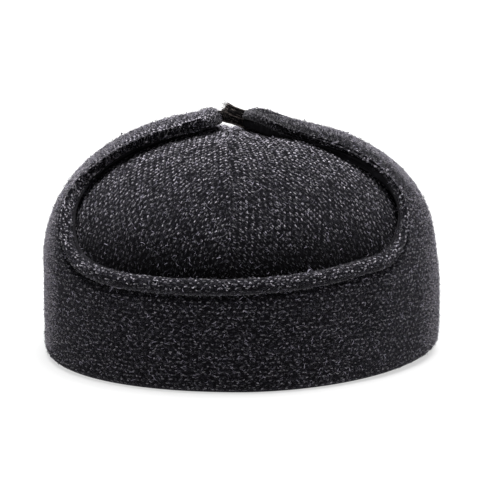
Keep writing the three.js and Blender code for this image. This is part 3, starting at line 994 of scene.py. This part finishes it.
# Light yarn floats that stand proud of the cloth, laid like bricks over each tweed piece
floats = {
    "period": 3.9, "row": 2.1,  # millimetres
    "length": 1.5, "width": 0.52, "height": 0.42, "bend": 0.3,
    "missing": 0.1, "extra": 0.8,  # shares left out, and added between
    "stray": 0.38, "slide": 0.24, "turn": 0.23,
    "dark": (0.004, 0.004, 0.006), "pale": (0.93, 0.88, 1.0),
}


def floatMaterial(name, t):
    m = Mat(name)
    grain = m.node("ShaderNodeTexNoise", None,
                   {"Vector": m.node("ShaderNodeTexCoord").outputs["Object"], "Scale": 3200.0, "Detail": 2.0})
    strand = m.val(grain).within(0.35, 0.68)
    base = m.mix(m.attribute("tone") * (strand * 0.75 + 0.25), t["dark"], t["pale"])
    m.set(Base_Color=base, Roughness=0.9, Normal=m.bump(0.8, 0.0002, strand), Specular_IOR_Level=0.1,
          Sheen_Weight=0.35, Sheen_Roughness=0.4)
    return m.material


# One float: a low pointed hump, as wide, long and high as its unit size
def humpShape():
    ring = [(-0.5, 0.0), (0.0, 1.0), (0.5, 0.0)]
    points = [(-0.5, 0, 0)] + [(x, a, b) for x in (-0.24, 0.24) for a, b in ring] + [(0.5, 0, 0)]
    faces = [(0, 2, 1), (0, 3, 2), (1, 2, 5, 4), (2, 3, 6, 5), (4, 5, 7), (5, 6, 7)]
    return np.array(points, float), faces


def cross2(a, b):
    return a[:, 0] * b[:, 1] - b[:, 0] * a[:, 1]


# Where the weave's brick corners fall on a piece: place, direction along the yarn and normal
def latticeOn(obj, angle, t, seed):
    mesh = obj.data
    mesh.calc_loop_triangles()
    outer = readAll(mesh.loop_triangles, "material_index", kind=np.int32) == 0
    verts = readAll(mesh.loop_triangles, "vertices", 3, np.int32)[outer]
    loops = readAll(mesh.loop_triangles, "loops", 3, np.int32)[outer]
    corners = readAll(mesh.vertices, "co", 3)[verts] * 1000
    normals = readAll(mesh.vertices, "normal", 3)[verts]
    flat = readAll(mesh.uv_layers["weave"].data, "uv", 2, np.float32).astype(float)[loops]
    c, s = math.cos(math.radians(angle)), math.sin(math.radians(angle))
    x = flat[..., 0] * c - flat[..., 1] * s
    y = flat[..., 0] * s + flat[..., 1] * c
    x2 = x + t["stray"] * (np.sin(y * 0.31 + seed) + np.sin(x * 0.83 + y * 1.13 + 2 * seed) * 0.5)
    y2 = y + t["stray"] * (np.sin(x * 0.27 + 2 * seed) + np.sin(x * 1.21 - y * 0.73 + seed) * 0.5)
    n = y2 / t["row"]
    grid = np.stack([x2 / t["period"] - n / 2, n], -1)
    low = np.ceil(grid.min(1))
    high = np.floor(grid.max(1))
    area = cross2(grid[:, 1] - grid[:, 0], grid[:, 2] - grid[:, 0])
    found = []
    for step in np.ndindex(3, 3):
        spot = low + step
        k = np.nonzero(np.all(spot <= high, 1) & (np.abs(area) > 1e-9))[0]
        d = spot[k] - grid[k, 0]
        w1 = cross2(d, grid[k, 2] - grid[k, 0]) / area[k]
        w2 = cross2(grid[k, 1] - grid[k, 0], d) / area[k]
        ok = (w1 >= 0) & (w2 >= 0) & (w1 + w2 < 1)
        found.append(np.column_stack([k[ok], w1[ok], w2[ok], spot[k][ok]]))
    hits = np.vstack(found)
    hits = hits[np.lexsort((hits[:, 0], hits[:, 4], hits[:, 3]))]
    k = hits[:, 0].astype(int)
    w = np.column_stack([1 - hits[:, 1] - hits[:, 2], hits[:, 1], hits[:, 2]])
    place = np.einsum("ij,ijk->ik", w, corners[k])
    normal = np.einsum("ij,ijk->ik", w, normals[k])
    e1, e2 = corners[k, 1] - corners[k, 0], corners[k, 2] - corners[k, 0]
    flat = np.stack([x, y], -1)
    f1, f2 = flat[k, 1] - flat[k, 0], flat[k, 2] - flat[k, 0]
    det = cross2(f1, f2)
    det = np.where(np.abs(det) < 1e-9, 1e-9, det)
    along = (e1 * f2[:, 1:] - e2 * f1[:, 1:]) / det[:, None]
    return place, along, normal


def layFloats(name, target, material, angle, t, seed, wanted, bright):
    place, along, normal = latticeOn(target, angle, t, seed)
    dice = np.random.default_rng(seed)
    keep = wanted(place) & (dice.random(len(place)) > t["missing"])
    place, along, normal = place[keep], along[keep], normal[keep]
    normal, along = unit(normal), unit(along)
    tone = 0.12 + 0.88 * dice.random(len(place)) ** 1.5
    # Duller floats between some of the light ones
    more = np.nonzero(dice.random(len(place)) < t["extra"])[0]
    side = np.cross(normal[more], along[more])
    place = np.vstack([place, place[more] + along[more] * t["period"] / 2 * 0.9
                       + side * dice.uniform(-0.3, 0.3, (len(more), 1))])
    normal, along = np.vstack([normal, normal[more]]), np.vstack([along, along[more]])
    tone = np.concatenate([tone, 0.04 + 0.5 * dice.random(len(more)) ** 2]) * bright(place)
    total = len(place)
    across = unit(np.cross(normal, along))
    along = np.cross(across, normal)
    slide = dice.uniform(-1, 1, (total, 2)) * t["slide"]
    place = place + along * slide[:, :1] + across * slide[:, 1:] * 0.6
    spin = dice.normal(0, t["turn"], total)[:, None]
    cosine, sine = np.cos(spin), np.sin(spin)
    along, across = along * cosine + across * sine, across * cosine - along * sine
    size = np.column_stack([t["length"] * dice.uniform(0.7, 1.2, total),
                            t["width"] * dice.uniform(0.75, 1.15, total),
                            t["height"] * dice.uniform(0.6, 1.15, total)])
    points, faces = humpShape()
    bend = dice.normal(0, t["bend"], (total, 1)) * (1 - 8 * points[:, 0] ** 2)
    verts = (place[:, None] + along[:, None] * (points[:, 0] * size[:, :1])[..., None]
             + across[:, None] * (points[:, 1] * size[:, 1:2] + bend)[..., None]
             + normal[:, None] * (points[:, 2] * size[:, 2:] - 0.05)[..., None]) / 1000
    step = len(points)
    every = [tuple(i * step + v for v in face) for i in range(total) for face in faces]
    mesh = newMesh(name, verts.reshape(-1, 3).tolist(), every, [material])
    markValues(mesh, "tone", np.repeat(np.clip(tone, 0, 1), step))
    mesh.polygons.foreach_set("use_smooth", [True] * len(mesh.polygons))
    mesh.update()
    return addObject(name, mesh, "tweed")


yarnFloat = floatMaterial("yarnFloat", floats)


# Floats on the crown: painted brighter at its top as painted light from above, and darkened by the painted
# shade in the valley behind the rim
def crownBright(p):
    return (1.0 + 0.45 * between(p[:, 2], 85, 100)) * (0.97 - 0.91 * valleyShadeAt(p))


# Floats on the flaps: painted lighter on the bead, partly as painted highlight, and darkened in the flaps'
# painted shades
def flapBright(p):
    # The bead's upper left and right corners and the rim get more painted light
    left = between(-p[:, 0], 28, 43) * between(p[:, 2], 55, 75)
    right = between(p[:, 0], 40, 60) * between(p[:, 2], 46, 54)
    gain = 0.6 + (1.05 + 0.4 * left + 0.6 * right) * beadAt(p) + 3.2 * rimLightAt(p) + 0.3 * tipShadeZone(p)
    return gain * (1 - flapShade(p, 0.8))


# The part of the crown that no flap hides
def shown(p):
    return (p[:, 2] > 45) | ((p[:, 1] > 20) & (p[:, 2] > 2))


flapFloats = {**floats, "stray": 0.75, "slide": 0.42, "turn": 0.42, "length": 1.35, "bend": 0.4}
yarns = [
    ("flapYarn", earFlaps, "flaps", flapFloats, 5, lambda p: p[:, 2] > 1.6, flapBright),
    ("crownYarnLeft", crownLeft, "crownLeft", floats, 7, shown, crownBright),
    ("crownYarnRight", crownRight, "crownRight", floats, 9, shown, crownBright),
    ("peakYarn", peakCloth, "peak", floats, 13, lambda p: p[:, 2] > 2, lambda p: 0.8),
]
for name, target, place, t, seed, wanted, bright in yarns:
    yarn = layFloats(name, target, yarnFloat, weaveAngle[place], t, seed, wanted, bright)
    print("stage: yarn floats", name, len(yarn.data.polygons))

# Loose wool fibres: short bent ribbons strewn over the cloth by Geometry Nodes
nap = {
    "density": 0.5,  # fibres to a square millimetre
    "longest": 2.4, "shortest": 0.8,  # millimetres
    "width": 0.085, "upright": False,
    "bends": [0.6, -1.4, 2.2, -2.9, 1.2],  # how far each kind turns, in radians
    "lift": [0.15, 0.3, 0.25, 0.3, 0.55],  # how high each kind rises, as a share of its length
    "tilt": 0.3, "lowest": 0.004, "grows": "napGrowth", "thinning": 0.5,
    "dark": (0.006, 0.006, 0.009), "pale": (0.50, 0.475, 0.59),
}

# Short upright fuzz on the flaps, coloured near white so that it shows as a pale haze along their outline:
# real fuzz, painted pale as a painted sheen
fuzz = {
    "density": 6.0,
    "longest": 1.1, "shortest": 0.4,
    "width": 0.13, "upright": True,
    "tilt": 0.8, "lowest": 0.005, "grows": "fuzzGrowth", "thinning": 1.0,
    "dark": (0.28, 0.268, 0.31), "pale": (1.0, 0.95, 1.0),
}


def napMaterial(name, t):
    m = Mat(name)
    pale = m.val(m.node("ShaderNodeNewGeometry"), "Random Per Island").within(0.45, 1.0)
    m.set(Base_Color=m.mix(pale * pale, t["dark"], t["pale"]), Roughness=0.8, Specular_IOR_Level=0.15)
    return m.material
    return m.material


# One fibre of unit length as a ribbon that bends sideways and rises
def fibreShape(name, bend, lift, width, segments=3):
    steps = np.linspace(0, 1, segments + 1)
    heading = (steps - 0.2) * bend
    stride = np.stack([np.cos(heading), np.sin(heading)], 1) / segments
    path = np.vstack([[0, 0], np.cumsum(stride, 0)])[:-1]
    rise = lift * np.sin(steps * 2.2) - 0.08
    verts = []
    for (x, y), z, a in zip(path, rise, heading):
        for side in (-1, 1):
            verts.append((x - side * width * math.sin(a), y + side * width * math.cos(a), z + side * width))
    faces = [(2 * i, 2 * i + 2, 2 * i + 3, 2 * i + 1) for i in range(segments)]
    return bpy.data.objects.new(name, newMesh(name, verts, faces))


# One upright fibre of unit height
def spikeShape(name, width):
    points = [(-width, 0, -0.1), (width, 0, -0.1), (0, width, 1)]
    return bpy.data.objects.new(name, newMesh(name, points, [(0, 1, 2)]))


# The node tree that strews the shapes of a collection, and the sockets of its inputs
def strewTree(name, kinds, material, t):
    tree = bpy.data.node_groups.new(name, "GeometryNodeTree")
    g = Graph(tree)
    sockets = {}
    for label in ["Geometry", "Density", "Seed", "Shortest", "Longest", "Tilt", "Lowest"]:
        kind = "NodeSocket" + {"Geometry": "Geometry", "Seed": "Int"}.get(label, "Float")
        sockets[label] = tree.interface.new_socket(label, in_out="INPUT", socket_type=kind)
    tree.interface.new_socket("Geometry", in_out="OUTPUT", socket_type="NodeSocketGeometry")
    given = g.node("NodeGroupInput").outputs

    def compare(kind, how, values):
        return g.node("FunctionNodeCompare", {"data_type": kind, "operation": how}, values)

    def dice(kind, values):
        return g.node("FunctionNodeRandomValue", {"data_type": kind}, {**values, "Seed": given["Seed"]})

    def field(label):
        return g.val(g.node("GeometryNodeInputNamedAttribute", {"data_type": "FLOAT"}, {"Name": label}))

    def turned(rotation, by):
        euler = g.node("FunctionNodeEulerToRotation", None, [by])
        return g.node("FunctionNodeRotateRotation", {"rotation_space": "LOCAL"}, [rotation, euler])

    height = g.node("ShaderNodeSeparateXYZ", None, [g.node("GeometryNodeInputPosition")])
    above = compare("FLOAT", "GREATER_THAN", {0: height.outputs[2], 1: given["Lowest"]})
    outer = compare("INT", "EQUAL", {2: g.node("GeometryNodeInputMaterialIndex"), 3: 0})
    both = g.node("FunctionNodeBooleanMath", {"operation": "AND"}, [above, outer])
    # Fibres thin out where the painted shade lies
    density = Val(g, given["Density"]) * ((1 - field("valley") * t["thinning"]) * field(t["grows"]))
    points = g.node("GeometryNodeDistributePointsOnFaces", {"distribute_method": "RANDOM"},
                    {"Mesh": given["Geometry"], "Selection": both, "Density": density, "Seed": given["Seed"]})
    spin = dice("FLOAT_VECTOR", {0: (0, 0, 0), 1: (0, 0, math.tau)})
    tilt = dice("FLOAT_VECTOR", {0: (-1.0, -1.0, 0), 1: (1.0, 0.1, 0)})
    tiltBy = g.node("ShaderNodeVectorMath", {"operation": "SCALE"}, {0: tilt, "Scale": given["Tilt"]})
    rotation = turned(turned(points.outputs["Rotation"], spin), tiltBy)
    size = dice("FLOAT", {2: given["Shortest"], 3: given["Longest"]})
    shapes = g.node("GeometryNodeCollectionInfo", None,
                    {"Collection": kinds, "Separate Children": True, "Reset Children": True})
    strewn = g.node("GeometryNodeInstanceOnPoints", None,
                    {"Points": points, "Instance": shapes, "Pick Instance": True, "Rotation": rotation,
                     "Scale": size.outputs[1]})
    real = g.node("GeometryNodeRealizeInstances", None, [strewn])
    painted = g.node("GeometryNodeSetMaterial", None, {"Geometry": real, "Material": material})
    g.node("NodeGroupOutput", None, [painted])
    return tree, sockets


def strewFibres(name, target, material, t, seed, share):
    kinds = bpy.data.collections.new(name + "Kinds")
    width = t["width"] / (t["longest"] + t["shortest"])
    if t["upright"]:
        kinds.objects.link(spikeShape(name + "Kind", width))
    else:
        for i, (bend, lift) in enumerate(zip(t["bends"], t["lift"])):
            kinds.objects.link(fibreShape(f"{name}Kind{i}", bend, lift, width))
    modifier = target.modifiers.new(name, "NODES")
    modifier.node_group, sockets = strewTree(name + "Tree", kinds, material, t)
    values = {"Density": t["density"] * share * 1e6, "Seed": seed, "Shortest": t["shortest"] / 1000,
              "Longest": t["longest"] / 1000, "Tilt": t["tilt"], "Lowest": t["lowest"]}
    for label, value in values.items():
        modifier[sockets[label].identifier] = value
    graph = bpy.context.evaluated_depsgraph_get()
    mesh = bpy.data.meshes.new_from_object(target.evaluated_get(graph))
    target.modifiers.remove(modifier)
    for shape in list(kinds.objects):
        bpy.data.objects.remove(shape)
    bpy.data.collections.remove(kinds)
    return addObject(name, mesh, "tweed")


# Fuzz, with its painted sheen, stands thickest on the two shoulders, and least on the tight bead
def fuzzAt(points):
    x, z = points[:, 0], points[:, 2]
    right = between(x, 22, 38) * (0.6 + 0.4 * between(x, 45, 70))
    side = np.where(x > 0, right, 0.25 + 0.25 * between(-x, 40, 65))
    low = np.where(x > 0, 0.5 * between(x, 83, 92), 0.9 * between(-x, 85, 92))
    return np.maximum(side * between(z, 70, 86), low) * (1 - 0.85 * beadAt(points))


def napAt(points):
    return 1 - np.maximum(0.55 * beadAt(points), 0.95 * tipShadeZone(points))


# The flaps' painted shades go into the same attribute as the crown's
for label, rule in [("bead", beadAt), ("valley", flapShade), ("napGrowth", napAt), ("fuzzGrowth", fuzzAt)]:
    markPlaces(earFlaps, label, rule)
for panel in (crownLeft, crownRight):
    markPlaces(panel, "napGrowth", lambda p: np.ones(len(p)))
woolFibre = napMaterial("woolFibre", nap)
woolFuzz = napMaterial("woolFuzz", fuzz)
fibres = [
    ("flapNap", earFlaps, woolFibre, nap, 11, 1.0),
    ("crownNapLeft", crownLeft, woolFibre, nap, 23, 0.85),
    ("crownNapRight", crownRight, woolFibre, nap, 37, 0.8),
    ("flapFuzz", earFlaps, woolFuzz, fuzz, 53, 1.0),
]
for name, target, material, t, seed, share in fibres:
    strewn = strewFibres(name, target, material, t, seed, share)
    print("stage: fibres", name, len(strewn.data.polygons))

# A few stray hairs, set by where the photograph shows them, on the surface found there
strays = {
    "picture": 480,
    # Each curl: pixel across and down, radius in millimetres, turns, start in radians
    "curls": [(344, 184, 1.5, 0.85, 0.4), (278, 223, 1.6, 0.6, 2.0)],
    # Each hair at the outline: pixel, length in millimetres, angle in degrees
    "hairs": [(353, 138, 3.0, 75), (436, 294, 2.4, 20), (437, 316, 2.2, -15), (434, 268, 1.8, 40),
              (47, 282, 1.9, 160), (120, 139, 2.2, 120), (402, 172, 2.0, 60), (262, 111, 2.6, 80)],
    "width": 0.085, "tone": 0.75,
}


def seenAt(across, down, targets, s):
    forward = lookWay(shot)
    upward = Vector((0, -forward.z, forward.y))
    half = s["picture"] / 2
    step = shot["sensor"] / shot["lens"] / s["picture"]
    way = forward + Vector((1, 0, 0)) * (across - half) * step + upward * (half - down) * step
    eye = Vector(shot["aim"]) - forward * shot["distance"]
    hits = [obj.ray_cast(eye, way.normalized()) for obj in targets]
    hits = [(h[1], h[2]) for h in hits if h[0]]
    return min(hits, key=lambda h: (h[0] - eye).length) if hits else None


def strayHairs(s):
    bpy.context.view_layer.update()
    targets = (earFlaps, crownLeft, crownRight)
    verts, faces = [], []

    for px, py, radius, turns, start in s["curls"]:
        found = seenAt(px, py, targets, s)
        if not found:
            continue
        at, normal = found
        sideways = normal.cross(Vector((0, 0, 1))).normalized()
        upward = sideways.cross(normal) * -1
        path, across = [], []
        for k in np.linspace(0, 1, 17):
            a = start + k * turns * math.tau
            r = radius * (1 - 0.5 * k + 0.12 * math.sin(9 * k)) / 1000
            out = sideways * math.cos(a) * 0.8 + upward * math.sin(a)
            path.append(at + out * r + normal * (0.0006 + 0.0005 * k))
            across.append(out)
        addStrip(verts, faces, path, [a * s["width"] / 1000 for a in across])
    for px, py, length, angle in s["hairs"]:
        found = seenAt(px, py, targets, s)
        if not found:
            continue
        at = found[0]
        a = math.radians(angle)
        path, across = [], []
        for k in np.linspace(0, 1, 7):
            b = a + 0.9 * k
            path.append(at + Vector((math.cos(b), 0, math.sin(b))) * length * k / 1000)
            across.append(Vector((-math.sin(b), 0, math.cos(b))) * (1 - 0.5 * k))
        addStrip(verts, faces, path, [a * s["width"] / 1000 for a in across])
    mesh = newMesh("strayHairs", [tuple(v) for v in verts], faces, [yarnFloat])
    markValues(mesh, "tone", np.full(len(verts), s["tone"]))
    return addObject("strayHairs", mesh, "tweed")


looseHairs = strayHairs(strays)
print("stage: stray hairs", len(looseHairs.data.polygons))

# What each piece stands for, what it rides on and its finish
stands = [
    (earFlaps, ["ear_flap_band"], "tweed"),
    (flapLiningCloth, ["flap_lining"], "lining"),
    (crownLeft, ["crown_left"], "tweed"),
    (crownRight, ["crown_right"], "tweed"),
    (peakCloth, ["peak"], "tweed"),
    (tieEnd, ["tie_end"], "tape"),
    (tieStrap, ["tie_cord"], "tape"),
    (tieWrap, ["tie_knot"], "tape"),
]
for piece, nodes, finish in stands:
    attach(piece, "root")
    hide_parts(*nodes)


# Floor and light
studio = {"floorSize": 30.0, "floor": (0.3, 0.3, 0.3), "glow": 0.59, "sky": 0.14,
          "sun": 7.1, "sunSpread": 55.0, "sunTurn": (-6, 3.5)}


def addStudio(s):
    h = s["floorSize"] / 2
    m = Mat("floorPaint")
    m.set(Base_Color=s["floor"], Roughness=0.9, Specular_IOR_Level=0.1,
          Emission_Color=(1, 1, 1), Emission_Strength=s["glow"])
    corners = [(-h, -h, 0), (h, -h, 0), (h, h, 0), (-h, h, 0)]
    addObject("floor", newMesh("floor", corners, [(0, 1, 2, 3)], [m.material]))
    world = bpy.data.worlds.new("studioSky")
    world.use_nodes = True
    background = world.node_tree.nodes["Background"].inputs
    background["Color"].default_value = (1, 1, 1, 1)
    background["Strength"].default_value = s["sky"]
    scene.world = world
    light = bpy.data.lights.new("softSun", "SUN")
    light.energy = s["sun"]
    light.angle = math.radians(s["sunSpread"])
    lamp = bpy.data.objects.new("softSun", light)
    lamp.rotation_euler = Euler((*(math.radians(a) for a in s["sunTurn"]), 0))
    scene.collection.objects.link(lamp)


addStudio(studio)
print("stage: studio")
